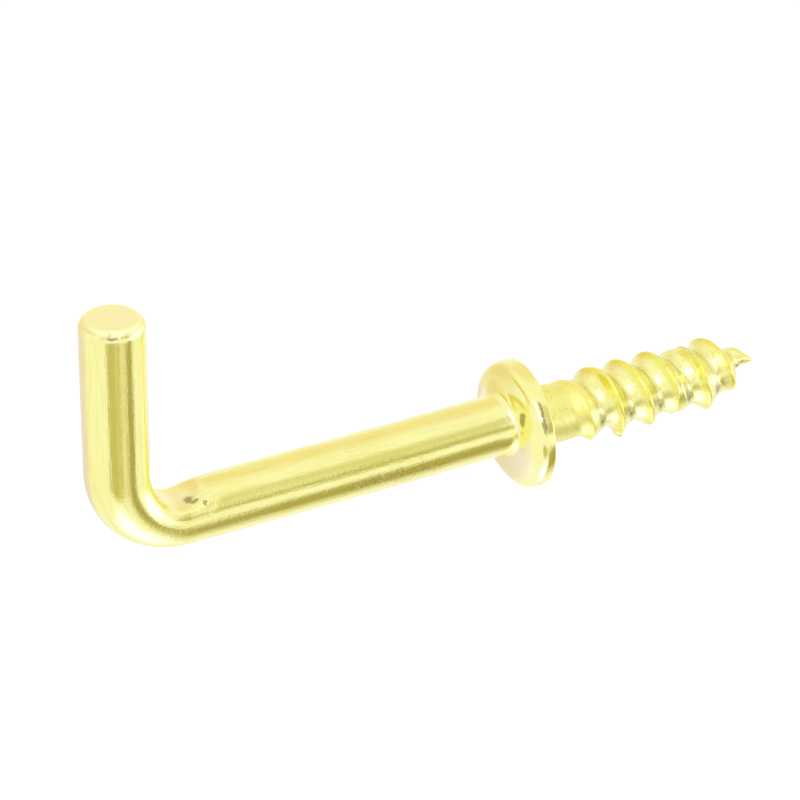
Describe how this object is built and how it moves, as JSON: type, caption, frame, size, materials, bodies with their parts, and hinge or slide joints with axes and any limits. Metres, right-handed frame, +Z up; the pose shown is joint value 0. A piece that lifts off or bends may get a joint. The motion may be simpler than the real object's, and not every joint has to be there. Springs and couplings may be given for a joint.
{
  "type": "square screw hook",
  "caption": "Square screw hook: a round wire bent square into a straight arm, with an upset collar and a tapered wood-screw thread ending in a gimlet point.",
  "frame": {"origin": "centre of the collar's flat bearing face, on the screw's axis", "axes": "+X along the screw from the bearing face to its point, into the wall or shelf; +Z up along the hook's arm"},
  "size_m": [0.0381, 0.0068, 0.0156],
  "materials": {
    "brass_plate": "bright plated, with fine drawing lines along the wire"
  },
  "bodies": {
    "root": {"screw_hook": "brass_plate"}
  },
  "joints": []
}
